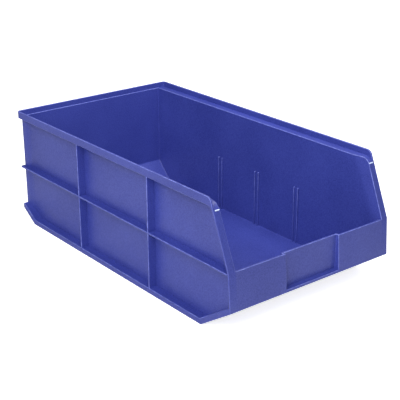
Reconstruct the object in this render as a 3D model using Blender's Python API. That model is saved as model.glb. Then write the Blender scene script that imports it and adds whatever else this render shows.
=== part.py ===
"""Hopper-front parts bin: one polypropylene moulding, built as its named regions.

Metres, +Z up. The front lip faces -Y and the rear wall faces +Y. The origin is the middle of
the footprint, on the surface that the bin stands on. Stations are measured along the bin from
the foot of its front lip, and heights from that surface. Every region meets its neighbours face
to face on the same computed line, so the regions together are the whole moulding.
"""

import math

import bmesh
import bpy
from mathutils import Vector

MM = 0.001

# Envelope
BODY_LENGTH = 508.0 * MM  # foot of the front lip to the back of the rear rim
BODY_WIDTH = 280.0 * MM  # over the side rims, ribs and base rails
BODY_HEIGHT = 178.0 * MM
WALL = 2.8 * MM
SIDE_STEP = 12.0 * MM  # how far rims, ribs and rails stand out from a side wall

# Front: a low lip that leans back, and the sloped edge of each side above it
LIP_FOOT_HEIGHT = 38.0 * MM
LIP_TOP_HEIGHT = 90.5 * MM
LIP_LEAN = 3.5 * MM  # setback of the lip's top edge from its foot
MOUTH_SETBACK = 39.0 * MM  # station where the sloped edge would meet the top of the rim
FRONT_RAMP_END = 58.0 * MM  # station where the front ramp reaches the flat floor

# Rear: a steep ramp inside, and a low chamfer on the side walls and rails outside
REAR_RAMP_RUN = 38.0 * MM
REAR_RAMP_RISE = 40.5 * MM
REAR_CHAMFER_RUN = 32.0 * MM
REAR_CHAMFER_RISE = 19.7 * MM

# Stacking rim: a ledge at the head of each side, with a lip standing on its outer edge
RIM_DEPTH = 8.6 * MM  # top of the lip down to the ledge
LEDGE_WALL = 2.5 * MM
RIM_LIP_WALL = 2.5 * MM
REAR_LIP_WALL = 1.8 * MM
RIM_CORNER_RADIUS = 5.0 * MM
RIM_NOSE_RADIUS = 8.3 * MM
LEDGE_NOSE_RADIUS = 4.0 * MM  # where a ledge turns down into the sloped front flange
LEDGE_NOSE_LENGTH = 9.0 * MM

# Stiffening ribs and base rails of the sides
RIB_WALL = 2.4 * MM
UPRIGHT_RIBS = 2
MID_RIB_DROP = 1.2 * MM  # top of the long rib below the top of the front lip
RAIL_HEIGHT = 8.0 * MM
RAIL_WALL = 2.8 * MM

# Label recess in the front lip
LABEL_WIDTH = 93.0 * MM
LABEL_SETBACK = 7.7 * MM
LABEL_SHELF_RISE = 3.7 * MM  # front edge of the shelf under the recess

# Divider slots: pairs of low upright ribs inside the side walls
SLOT_PAIRS = 3
SLOT_PITCH = 86.6 * MM
SLOT_SHIFT = 2.0 * MM  # how far the middle pair stands ahead of mid-length
SLOT_CENTRES = 7.8 * MM  # between the two ribs of a pair
SLOT_RIB_WALL = 2.0 * MM
SLOT_RIB_REACH = 2.2 * MM

# Hanger on the rear wall, and two stand-off ribs that keep a hung bin square
HANGER_WIDTH = 190.0 * MM
HANGER_DROP = 1.4 * MM  # top of the hanger below the stacking ledge
HANGER_GAP = 5.7 * MM
HANGER_WALL = 2.8 * MM
HANGER_DEPTH = 17.0 * MM  # the down-turned lip below the web
STANDOFF_SPACING = 120.0 * MM
STANDOFF_RISE = 11.5 * MM  # foot of a stand-off above the head of the rear ramp
STANDOFF_LENGTH = 58.0 * MM

# Rounding of exposed edges
RIM_ROUND = 0.6 * MM
RIB_ROUND = 0.4 * MM
RAIL_END_ROUND = 2.5 * MM
SLOT_ROUND = 0.7 * MM
HANGER_ROUND = 1.2 * MM

BLUE = (0.088, 0.107, 0.42, 1.0)
ARC_STEPS = 8

# Places that follow from the sizes above
OUTER_X = BODY_WIDTH / 2
WALL_X = OUTER_X - SIDE_STEP
INNER_X = WALL_X - WALL
RIM_LIP_X = OUTER_X - RIM_LIP_WALL
LEDGE_TOP = BODY_HEIGHT - RIM_DEPTH
LEDGE_UNDER = LEDGE_TOP - LEDGE_WALL
LEDGE_START = MOUTH_SETBACK + LEDGE_NOSE_LENGTH
RIM_CORNER = BODY_LENGTH - RIM_CORNER_RADIUS
MID_RIB_TOP = LIP_TOP_HEIGHT - MID_RIB_DROP
MID_RIB_UNDER = MID_RIB_TOP - RIB_WALL
REAR_INNER = BODY_LENGTH - WALL
REAR_REACH = BODY_LENGTH + HANGER_GAP + HANGER_WALL
HANGER_TOP = LEDGE_TOP - HANGER_DROP
HANGER_UNDER = HANGER_TOP - HANGER_WALL
LABEL_X = LABEL_WIDTH / 2
RETURN_X = LABEL_X + WALL
LABEL_BACK = LABEL_SETBACK + WALL
LABEL_SHELF = LIP_FOOT_HEIGHT + LABEL_SHELF_RISE
ORIGIN_STATION = REAR_REACH / 2


class Line:
    """A line in the side view, through two points of (station, height)."""

    def __init__(self, start, end):
        self.start = Vector(start)
        self.run = Vector(end) - self.start

    def shifted(self, distance):
        """The parallel line this far to the left of the way from start to end."""
        start = self.start + Vector((-self.run.y, self.run.x)).normalized() * distance
        return Line(start, start + self.run)

    def at_height(self, height):
        share = (height - self.start.y) / self.run.y
        return (self.start.x + share * self.run.x, height)

    def at_station(self, station):
        share = (station - self.start.x) / self.run.x
        return (station, self.start.y + share * self.run.y)

    def meet(self, other):
        """The point where this line crosses another."""
        gap = other.start - self.start
        share = gap.cross(other.run) / self.run.cross(other.run)
        return tuple(self.start + self.run * share)


# Side view of the shell: each outer line, and the inner line one wall inside it
FLOOR_UNDER = Line((0, 0), (BODY_LENGTH, 0))
FLOOR_TOP = FLOOR_UNDER.shifted(WALL)
LIP_FOOT = (0.0, LIP_FOOT_HEIGHT)
LIP_HEAD = (LIP_LEAN, LIP_TOP_HEIGHT)
LIP_FACE = Line(LIP_FOOT, LIP_HEAD)
LIP_BACK = LIP_FACE.shifted(-WALL)
MOUTH_FACE = Line(LIP_HEAD, (MOUTH_SETBACK, BODY_HEIGHT))
MOUTH_BACK = MOUTH_FACE.shifted(-WALL)
FRONT_RAMP_FACE = Line((FRONT_RAMP_END, 0), LIP_FOOT)
FRONT_RAMP_INSIDE = FRONT_RAMP_FACE.shifted(-WALL)
REAR_RAMP_FACE = Line((BODY_LENGTH - REAR_RAMP_RUN, 0), (BODY_LENGTH, REAR_RAMP_RISE))
REAR_RAMP_INSIDE = REAR_RAMP_FACE.shifted(WALL)
REAR_CHAMFER = Line((BODY_LENGTH - REAR_CHAMFER_RUN, 0), (BODY_LENGTH, REAR_CHAMFER_RISE))
LIP_INNER_FOOT = LIP_BACK.meet(FRONT_RAMP_INSIDE)
LIP_INNER_HEAD = LIP_BACK.at_height(LIP_TOP_HEIGHT)
LABEL_HEEL = FRONT_RAMP_INSIDE.at_station(LABEL_BACK)


def clear_scene():
    for obj in list(bpy.data.objects):
        bpy.data.objects.remove(obj)


def bin_frame():
    """The empty that carries every region, at the origin of the part."""
    frame = bpy.data.objects.new("parts_bin", None)
    frame.empty_display_size = SIDE_STEP
    bpy.context.scene.collection.objects.link(frame)
    return frame


def polypropylene():
    material = bpy.data.materials.new("blue_polypropylene")
    material.use_nodes = True
    shader = material.node_tree.nodes["Principled BSDF"]
    shader.inputs["Base Color"].default_value = BLUE
    shader.inputs["Roughness"].default_value = 0.45
    shader.inputs["Metallic"].default_value = 0.0
    shader.inputs["IOR"].default_value = 1.49
    return material


def arc(centre, radius, start, end):
    """Points along an arc, from one angle to another in degrees."""
    angles = [math.radians(start + (end - start) * i / ARC_STEPS) for i in range(ARC_STEPS + 1)]
    return [(centre[0] + radius * math.cos(a), centre[1] + radius * math.sin(a)) for a in angles]


def rounded_corner(before, corner, after, radius):
    """Points of a corner rounded to this radius, from one tangent point to the other."""
    corner = Vector(corner)
    back = (Vector(before) - corner).normalized()
    ahead = (Vector(after) - corner).normalized()
    half = back.angle(ahead) / 2
    towards = (back + ahead).normalized()
    centre = corner + towards * radius / math.sin(half)
    square = Vector((-towards.y, towards.x)) * math.copysign(1, towards.cross(ahead))
    points = []
    for i in range(ARC_STEPS + 1):
        angle = (2 * i / ARC_STEPS - 1) * (math.pi / 2 - half)
        points.append(tuple(centre + (square * math.sin(angle) - towards * math.cos(angle)) * radius))
    return points


def finish(name, bm):
    """Turn a closed bmesh into a named object of the moulding's material."""
    bmesh.ops.recalc_face_normals(bm, faces=bm.faces)
    mesh = bpy.data.meshes.new(name)
    bm.to_mesh(mesh)
    bm.free()
    obj = bpy.data.objects.new(name, mesh)
    obj.parent = FRAME
    bpy.context.scene.collection.objects.link(obj)
    mesh.materials.append(MOULDED)
    return obj


def extrude_to(bm, faces, axis, value):
    """Extrude some faces until they reach a value on one axis, and return the moved faces."""
    edges = {edge for face in faces for edge in face.edges}
    made = bmesh.ops.extrude_face_region(bm, geom=[*faces, *edges])["geom"]
    for item in made:
        if isinstance(item, bmesh.types.BMVert):
            item.co[axis] = value
    return [item for item in made if isinstance(item, bmesh.types.BMFace)]


def side_prism(name, outline, x_low, x_high):
    """An outline of (station, height), extruded across the bin."""
    bm = bmesh.new()
    points = [bm.verts.new((x_low, s - ORIGIN_STATION, z)) for s, z in outline]
    extrude_to(bm, [bm.faces.new(points)], 0, x_high)
    return finish(name, bm)


def plan_prism(name, outline, z_low, z_high):
    """An outline of (x, station), extruded upwards."""
    bm = bmesh.new()
    points = [bm.verts.new((x, s - ORIGIN_STATION, z_low)) for x, s in outline]
    extrude_to(bm, [bm.faces.new(points)], 2, z_high)
    return finish(name, bm)


def block(name, x_range, station_range, height_range):
    (s0, s1), (z0, z1) = station_range, height_range
    return side_prism(name, [(s0, z0), (s1, z0), (s1, z1), (s0, z1)], *x_range)


def round_edges(obj, chosen, radius, segments=2):
    """Bevel the edges that pass a test of their two end points."""
    bm = bmesh.new()
    bm.from_mesh(obj.data)
    edges = [e for e in bm.edges if chosen(e.verts[0].co, e.verts[1].co)]
    bmesh.ops.bevel(bm, geom=edges, offset=radius, segments=segments, profile=0.5, affect="EDGES")
    bm.to_mesh(obj.data)
    bm.free()
    obj.data.shade_smooth()
    obj.data.set_sharp_from_angle(angle=math.radians(30))


def near(*values):
    return max(values) - min(values) < 0.01 * MM


def across(side, x_from, x_to):
    """The x range of something on one side, -1 for left and 1 for right, low end first."""
    return tuple(sorted((side * x_from, side * x_to)))


def build_floor():
    outline = [
        FRONT_RAMP_FACE.at_height(0),
        REAR_RAMP_FACE.at_height(0),
        REAR_RAMP_INSIDE.meet(FLOOR_TOP),
        FRONT_RAMP_INSIDE.meet(FLOOR_TOP),
    ]
    side_prism("floor_panel", outline, -INNER_X, INNER_X)


def build_front_ramp():
    outline = [
        FRONT_RAMP_FACE.at_height(0),
        FRONT_RAMP_INSIDE.meet(FLOOR_TOP),
        LABEL_HEEL,
        LIP_INNER_FOOT,
        LIP_FOOT,
    ]
    side_prism("front_ramp", outline, -INNER_X, INNER_X)


def build_rear():
    ramp = [
        REAR_RAMP_FACE.at_height(0),
        (BODY_LENGTH, REAR_RAMP_RISE),
        REAR_RAMP_INSIDE.at_station(REAR_INNER),
        REAR_RAMP_INSIDE.meet(FLOOR_TOP),
    ]
    side_prism("rear_ramp", ramp, -INNER_X, INNER_X)
    wall = [
        (BODY_LENGTH, REAR_RAMP_RISE),
        (BODY_LENGTH, LEDGE_TOP),
        (REAR_INNER, LEDGE_TOP),
        REAR_RAMP_INSIDE.at_station(REAR_INNER),
    ]
    side_prism("rear_wall", wall, -INNER_X, INNER_X)


def build_side_wall(side, word):
    outline = [
        FRONT_RAMP_FACE.at_height(0),
        REAR_CHAMFER.at_height(0),
        (BODY_LENGTH, REAR_CHAMFER_RISE),
        (BODY_LENGTH, LEDGE_UNDER),
        MOUTH_BACK.at_height(LEDGE_UNDER),
        LIP_INNER_HEAD,
        LIP_INNER_FOOT,
        LIP_FOOT,
    ]
    side_prism(f"{word}_side_wall", outline, *across(side, INNER_X, WALL_X))


def ledge_nose():
    """The arc where a stacking ledge turns down into the sloped flange, going up and back."""
    corner = MOUTH_FACE.at_height(LEDGE_TOP)
    return rounded_corner(LIP_HEAD, corner, (LEDGE_START, LEDGE_TOP), LEDGE_NOSE_RADIUS)


def build_front_corner(side, word):
    """The corner post beside the lip, and the flange that leans back and turns over on top."""
    post = [LIP_FOOT, LIP_HEAD, LIP_INNER_HEAD, LIP_INNER_FOOT]
    lower = side_prism(f"{word}_corner_post", post, *across(side, INNER_X, OUTER_X))
    nose = ledge_nose()
    strip = [
        LIP_HEAD,
        *nose,
        (LEDGE_START, LEDGE_TOP),
        (LEDGE_START, LEDGE_UNDER),
        MOUTH_BACK.at_height(LEDGE_UNDER),
        LIP_INNER_HEAD,
    ]
    upper = side_prism(f"{word}_front_flange", strip, *across(side, INNER_X, OUTER_X))
    highest = nose[0][1] + 0.01 * MM

    def front_edge(a, b):
        """Whether an edge runs up the front face, below the nose."""
        back_y = LIP_INNER_HEAD[0] - ORIGIN_STATION
        low_end = min((a, b), key=lambda p: p.z)
        return near(a.x, b.x) and max(a.z, b.z) < highest and low_end.y < back_y - WALL / 2

    round_edges(lower, lambda a, b: front_edge(a, b) and abs(a.z - b.z) > WALL, RIM_ROUND)
    round_edges(upper, lambda a, b: front_edge(a, b) and abs(a.z - b.z) > WALL, RIM_ROUND)


def build_side_rim(side, word):
    """The ledge, its rear corner, and the lip that ends in a nose over the sloped mouth."""
    inner, edge, outer = side * INNER_X, side * RIM_LIP_X, side * OUTER_X
    ledge = [(inner, LEDGE_START), (edge, LEDGE_START), (edge, RIM_CORNER), (inner, RIM_CORNER)]
    plan_prism(f"{word}_rim_ledge", ledge, LEDGE_UNDER, LEDGE_TOP)
    bend = arc((OUTER_X - RIM_CORNER_RADIUS, RIM_CORNER), RIM_CORNER_RADIUS, 0, 90)
    bend = [(side * x, station) for x, station in bend]
    corner = [(inner, RIM_CORNER), *bend, (inner, BODY_LENGTH)]
    plan_prism(f"{word}_rim_corner", corner, LEDGE_UNDER, LEDGE_TOP)
    nose = ledge_nose()
    head = (MOUTH_SETBACK, BODY_HEIGHT)
    outline = [
        (RIM_CORNER, LEDGE_UNDER),
        (RIM_CORNER, BODY_HEIGHT),
        *rounded_corner((RIM_CORNER, BODY_HEIGHT), head, nose[0], RIM_NOSE_RADIUS),
        *nose,
        (LEDGE_START, LEDGE_TOP),
        (LEDGE_START, LEDGE_UNDER),
    ]
    lip = side_prism(f"{word}_rim_lip", outline, *across(side, RIM_LIP_X, OUTER_X))
    floor = LEDGE_TOP + 0.01 * MM

    def along_top(a, b):
        return near(a.x, b.x) and min(a.z, b.z) > floor

    round_edges(lip, along_top, RIM_ROUND)


def build_rear_rim():
    """The rear lip, with the lips of both rear corners."""
    inner_radius = RIM_CORNER_RADIUS - RIM_LIP_WALL
    outer = arc((OUTER_X - RIM_CORNER_RADIUS, RIM_CORNER), RIM_CORNER_RADIUS, 0, 90)
    inner_centre = (RIM_LIP_X - inner_radius, BODY_LENGTH - REAR_LIP_WALL - inner_radius)
    inner = arc(inner_centre, inner_radius, 90, 0)
    right = [*inner, (RIM_LIP_X, RIM_CORNER), *outer]
    left = [(-x, station) for x, station in reversed(right)]
    lip = plan_prism("rear_rim_lip", [*right, *left], LEDGE_TOP, BODY_HEIGHT)
    end_y = RIM_CORNER - ORIGIN_STATION

    def along_top(a, b):
        return near(a.z, b.z, BODY_HEIGHT) and not near(a.y, b.y, end_y)

    round_edges(lip, along_top, RIM_ROUND)


def round_top(obj, radius):
    """Round the long front and back edges along the top of the front lip."""
    round_edges(obj, lambda a, b: near(a.z, b.z, LIP_TOP_HEIGHT) and near(a.y, b.y), radius)


def build_front_lip():
    """The two lip panels, the label panel set back between them, its returns and its shelf."""
    panel = [LIP_FOOT, LIP_HEAD, LIP_INNER_HEAD, LIP_INNER_FOOT]
    label_return = [LIP_FOOT, LIP_HEAD, (LABEL_BACK, LIP_TOP_HEIGHT), LABEL_HEEL, LIP_INNER_FOOT]
    for side, word in ((-1, "left"), (1, "right")):
        obj = side_prism(f"front_panel_{word}", panel, *across(side, RETURN_X, INNER_X))
        round_top(obj, RIM_ROUND)
        side_prism(f"label_return_{word}", label_return, *across(side, LABEL_X, RETURN_X))
    shelf = [
        LIP_FOOT,
        LIP_FACE.at_height(LABEL_SHELF),
        (LABEL_BACK, LABEL_SHELF),
        LABEL_HEEL,
        LIP_INNER_FOOT,
    ]
    side_prism("label_shelf", shelf, -LABEL_X, LABEL_X)
    stations, heights = (LABEL_SETBACK, LABEL_BACK), (LABEL_SHELF, LIP_TOP_HEIGHT)
    round_top(block("label_panel", (-LABEL_X, LABEL_X), stations, heights), RIM_ROUND)


def build_mid_rib(side, word):
    outline = [
        LIP_BACK.at_height(MID_RIB_UNDER),
        (BODY_LENGTH, MID_RIB_UNDER),
        (BODY_LENGTH, MID_RIB_TOP),
        LIP_BACK.at_height(MID_RIB_TOP),
    ]
    rib = side_prism(f"{word}_mid_rib", outline, *across(side, WALL_X, OUTER_X))
    outer = side * OUTER_X
    round_edges(rib, lambda a, b: near(a.x, b.x, outer) and near(a.z, b.z), RIB_ROUND)


def build_upright_ribs(side, word):
    """Upright ribs at equal shares of the length, each in two parts about the long rib."""
    outer = side * OUTER_X
    parts = (("lower", RAIL_HEIGHT, MID_RIB_UNDER), ("upper", MID_RIB_TOP, LEDGE_UNDER))
    for number in range(1, UPRIGHT_RIBS + 1):
        middle = BODY_LENGTH * number / (UPRIGHT_RIBS + 1)
        stations = (middle - RIB_WALL / 2, middle + RIB_WALL / 2)
        for part, low, high in parts:
            name = f"{word}_upright_{number}_{part}"
            rib = block(name, across(side, WALL_X, OUTER_X), stations, (low, high))
            round_edges(rib, lambda a, b: near(a.x, b.x, outer) and near(a.y, b.y), RIB_ROUND)


def rail_levels():
    """Each bend of a base rail, as its points at the foot, under the web and on top."""
    levels = []
    for height in (0.0, RAIL_HEIGHT - RAIL_WALL, RAIL_HEIGHT):
        run = FLOOR_UNDER.shifted(height)
        front = FRONT_RAMP_FACE.shifted(-height)
        rear = REAR_CHAMFER.shifted(height)
        start = LIP_FOOT if height == 0 else front.meet(LIP_BACK)
        levels.append((start, front.meet(run), rear.meet(run), rear.at_station(BODY_LENGTH)))
    return list(zip(*levels))


def build_rail(side, word):
    """A base rail of L section: a web beside the wall, and a skirt along its outer edge."""
    bends = rail_levels()
    tip_y, tip_z = BODY_LENGTH - ORIGIN_STATION, bends[-1][2][1]

    def tip(a, b):
        return near(a.y, b.y, tip_y) and near(a.z, b.z, tip_z)

    for name, start, end in zip(("front_rise", "run", "rear_rise"), bends, bends[1:]):
        bm = bmesh.new()
        place = [(side * OUTER_X, station - ORIGIN_STATION, z) for station, z in (*start, *end)]
        foot_0, under_0, top_0, foot_1, under_1, top_1 = map(bm.verts.new, place)
        heel = []
        if name == "front_rise":
            station, height = LIP_INNER_FOOT
            heel = [bm.verts.new((side * OUTER_X, station - ORIGIN_STATION, height))]
        skirt = bm.faces.new([foot_0, foot_1, under_1, under_0, *heel])
        web = bm.faces.new([under_0, under_1, top_1, top_0])
        pushed = extrude_to(bm, [skirt, web], 0, side * (OUTER_X - RAIL_WALL))
        upper = max(pushed, key=lambda face: face.calc_center_median().z)
        extrude_to(bm, [upper], 0, side * WALL_X)
        round_edges(finish(f"{word}_rail_{name}", bm), tip, RAIL_END_ROUND, 4)


def build_slot_ribs(side, word):
    """Pairs of divider-slot ribs on the inside of a wall, level with the front lip."""
    reach = INNER_X - SLOT_RIB_REACH

    def exposed(a, b):
        """Whether an edge is on the free face of a rib, away from the floor."""
        return near(a.x, b.x, side * reach) and max(a.z, b.z) > 2 * WALL

    for pair in range(SLOT_PAIRS):
        ahead = SLOT_SHIFT + ((SLOT_PAIRS - 1) / 2 - pair) * SLOT_PITCH
        middle = BODY_LENGTH / 2 - ahead
        for end, shift in (("a", -SLOT_CENTRES / 2), ("b", SLOT_CENTRES / 2)):
            low = middle + shift - SLOT_RIB_WALL / 2
            stations, heights = (low, low + SLOT_RIB_WALL), (WALL, LIP_TOP_HEIGHT)
            name = f"{word}_slot_{pair + 1}{end}"
            rib = block(name, across(side, reach, INNER_X), stations, heights)
            round_edges(rib, exposed, SLOT_ROUND, 3)


def build_hanger():
    """The hanger that hooks over a rail or louvre: a web and its down-turned lip."""
    half = HANGER_WIDTH / 2
    turn = REAR_REACH - HANGER_WALL
    low = HANGER_UNDER - HANGER_DEPTH
    block("hanger_web", (-half, half), (BODY_LENGTH, turn), (HANGER_UNDER, HANGER_TOP))
    lip = block("hanger_lip", (-half, half), (turn, REAR_REACH), (low, HANGER_TOP))
    tip = REAR_REACH - ORIGIN_STATION
    round_edges(lip, lambda a, b: near(a.y, b.y, tip) and near(a.z, b.z, HANGER_TOP), HANGER_ROUND, 4)
    round_edges(lip, lambda a, b: near(a.z, b.z, low) and near(a.y, b.y), RIM_ROUND)


def build_standoffs():
    """Two upright ribs low on the rear wall, which reach as far back as the hanger."""
    foot = REAR_RAMP_RISE + STANDOFF_RISE
    head = foot + STANDOFF_LENGTH
    slope = REAR_REACH - BODY_LENGTH
    outline = [
        (BODY_LENGTH, foot),
        (REAR_REACH, foot + slope),
        (REAR_REACH, head - slope),
        (BODY_LENGTH, head),
    ]
    for side, word in ((-1, "left"), (1, "right")):
        middle = side * STANDOFF_SPACING / 2
        side_prism(f"{word}_standoff", outline, middle - RIB_WALL / 2, middle + RIB_WALL / 2)


def main():
    build_floor()
    build_front_ramp()
    build_rear()
    build_front_lip()
    build_rear_rim()
    build_hanger()
    build_standoffs()
    for side, word in ((-1, "left"), (1, "right")):
        build_side_wall(side, word)
        build_front_corner(side, word)
        build_side_rim(side, word)
        build_mid_rib(side, word)
        build_upright_ribs(side, word)
        build_rail(side, word)
        build_slot_ribs(side, word)


clear_scene()
FRAME = bin_frame()
MOULDED = polypropylene()
main()
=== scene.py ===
"""Blue hopper-front parts bin: one rounded polypropylene moulding in a white studio.

Lengths are in metres. Angles are in radians, and those of lamps and camera in degrees.
In every class, overlap is how far a piece is sunk in its neighbour, and clear is how far
a cutter stands past what it cuts.
"""

import logging
import math
from collections.abc import Callable
from dataclasses import dataclass, field
from enum import Enum

import bmesh
import bpy
from mathutils import Euler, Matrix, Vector

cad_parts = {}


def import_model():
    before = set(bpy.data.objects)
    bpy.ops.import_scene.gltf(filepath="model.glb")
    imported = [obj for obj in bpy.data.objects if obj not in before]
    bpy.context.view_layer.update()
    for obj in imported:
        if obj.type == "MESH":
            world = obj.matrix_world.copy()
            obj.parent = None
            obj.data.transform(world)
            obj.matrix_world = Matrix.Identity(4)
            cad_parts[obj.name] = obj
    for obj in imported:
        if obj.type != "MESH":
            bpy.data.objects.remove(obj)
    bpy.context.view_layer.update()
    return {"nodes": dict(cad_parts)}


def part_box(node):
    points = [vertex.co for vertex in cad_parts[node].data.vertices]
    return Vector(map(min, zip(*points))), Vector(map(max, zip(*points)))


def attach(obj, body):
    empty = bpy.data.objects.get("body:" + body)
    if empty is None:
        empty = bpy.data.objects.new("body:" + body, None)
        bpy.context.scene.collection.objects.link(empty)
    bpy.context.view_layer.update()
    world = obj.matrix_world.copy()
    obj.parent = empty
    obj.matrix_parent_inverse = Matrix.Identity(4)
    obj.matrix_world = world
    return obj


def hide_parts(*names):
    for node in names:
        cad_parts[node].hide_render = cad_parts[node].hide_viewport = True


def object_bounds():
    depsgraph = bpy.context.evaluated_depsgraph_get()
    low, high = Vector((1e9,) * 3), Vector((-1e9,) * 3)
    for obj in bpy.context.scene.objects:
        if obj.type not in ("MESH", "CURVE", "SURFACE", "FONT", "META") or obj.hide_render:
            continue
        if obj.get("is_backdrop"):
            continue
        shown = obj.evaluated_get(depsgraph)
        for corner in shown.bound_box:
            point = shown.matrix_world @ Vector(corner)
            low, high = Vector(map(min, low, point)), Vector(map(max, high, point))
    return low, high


MM = 0.001
HAIR = 0.01 * MM  # places closer than this are the same
SLIT = 1e-6  # a cut goes through the points that it passes closer than this
FLAT = math.radians(0.2)  # faces that turn less than this are one
STEPS = 8  # facets across a common rounding
WEAR_AND_HIGHLIGHT = "edge_wear"  # 0 as moulded, 1 on a crest painted pale for rub wear and painted highlight, 2 on a bead painted with a glint
# the level of the beads, which are painted with a glint
GLINT = 2.0
WHITE = (1.0, 1.0, 1.0, 1.0)
LOG = logging.getLogger("parts_bin")

Span = tuple[float, float]
Point = tuple[float, float]
Place = tuple[float, float, float]
Colour = tuple[float, float, float]
Socket = bpy.types.NodeSocket
EdgeTest = Callable[[Vector, Vector], bool]
EdgeFilter = Callable[[bmesh.types.BMEdge], bool]


def near(*values: float) -> bool:
    """Whether all values are the same to within a hair."""
    return max(values) - min(values) < HAIR


class Side(Enum):
    """The two long sides, as seen from the front lip."""

    LEFT = -1
    RIGHT = 1

    @property
    def word(self) -> str:
        """The side's name as the frame's nodes use it."""
        return self.name.lower()

    def span(self, inner: float, outer: float) -> Span:
        """An x range on this side, low end first.

        Args:
            inner: Distance from the middle to the inner end.
            outer: Distance from the middle to the outer end.

        Returns:
            The two x values in rising order.
        """
        ends = sorted((self.value * inner, self.value * outer))
        return ends[0], ends[1]


class Mix(Enum):
    """How a boolean combines two solids."""

    ADD = "UNION"
    CUT = "DIFFERENCE"


class Keep(Enum):
    """Which side of a slope stays after a cut, looking from its start to its end."""

    LEFT = "left"
    RIGHT = "right"


@dataclass(frozen=True)
class Slope:
    """A plane across the bin, seen from its right side as a line of (y, z) points."""

    start: Point
    end: Point

    @property
    def run(self) -> Vector:
        """The unit direction from start to end."""
        return (Vector(self.end) - Vector(self.start)).normalized()

    @property
    def normal(self) -> Vector:
        """The unit normal to the left of the way, in three axes."""
        return Vector((0.0, -self.run.y, self.run.x))

    def shifted(self, distance: float) -> "Slope":
        """The parallel slope this far to the left.

        Args:
            distance: Shift in metres; negative goes right.

        Returns:
            The shifted slope.
        """
        move = Vector((-self.run.y, self.run.x)) * distance
        return Slope(tuple(Vector(self.start) + move), tuple(Vector(self.end) + move))

    def y_at(self, z: float) -> float:
        """The y where the slope reaches a height."""
        (y0, z0), (y1, z1) = self.start, self.end
        return y0 + (z - z0) * (y1 - y0) / (z1 - z0)

    def z_at(self, y: float) -> float:
        """The height where the slope reaches a y."""
        (y0, z0), (y1, z1) = self.start, self.end
        return z0 + (y - y0) * (z1 - z0) / (y1 - y0)


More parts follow.
